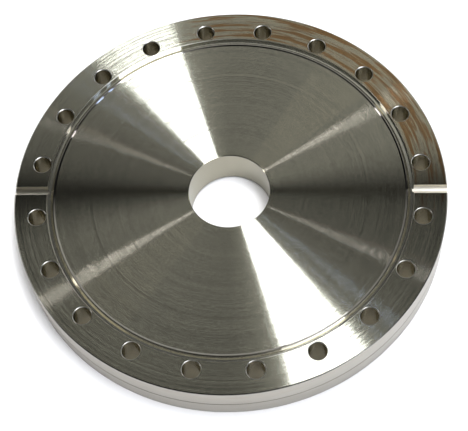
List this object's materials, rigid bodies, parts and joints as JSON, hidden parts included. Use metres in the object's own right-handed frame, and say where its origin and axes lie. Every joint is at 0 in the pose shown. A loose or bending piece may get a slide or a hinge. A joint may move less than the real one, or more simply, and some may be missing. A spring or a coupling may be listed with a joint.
{
  "type": "vacuum flange",
  "caption": "Round knife-edge vacuum flange with a central tube bore, a ring of bolt holes, a gasket recess and radial leak-check slots.",
  "frame": {"origin": "centre of the back face, on the flange's axis", "axes": "+Z along the flange's axis from the back face towards the sealing side; the two leak-check slots lie along +X and -X"},
  "size_m": [0.2024, 0.2024, 0.0223],
  "materials": {
    "turned_stainless": "fine concentric turning marks, bright, with light tan heat tint on the bolt ring"
  },
  "bodies": {
    "root": {"knife_edge_flange": "turned_stainless"}
  },
  "joints": []
}
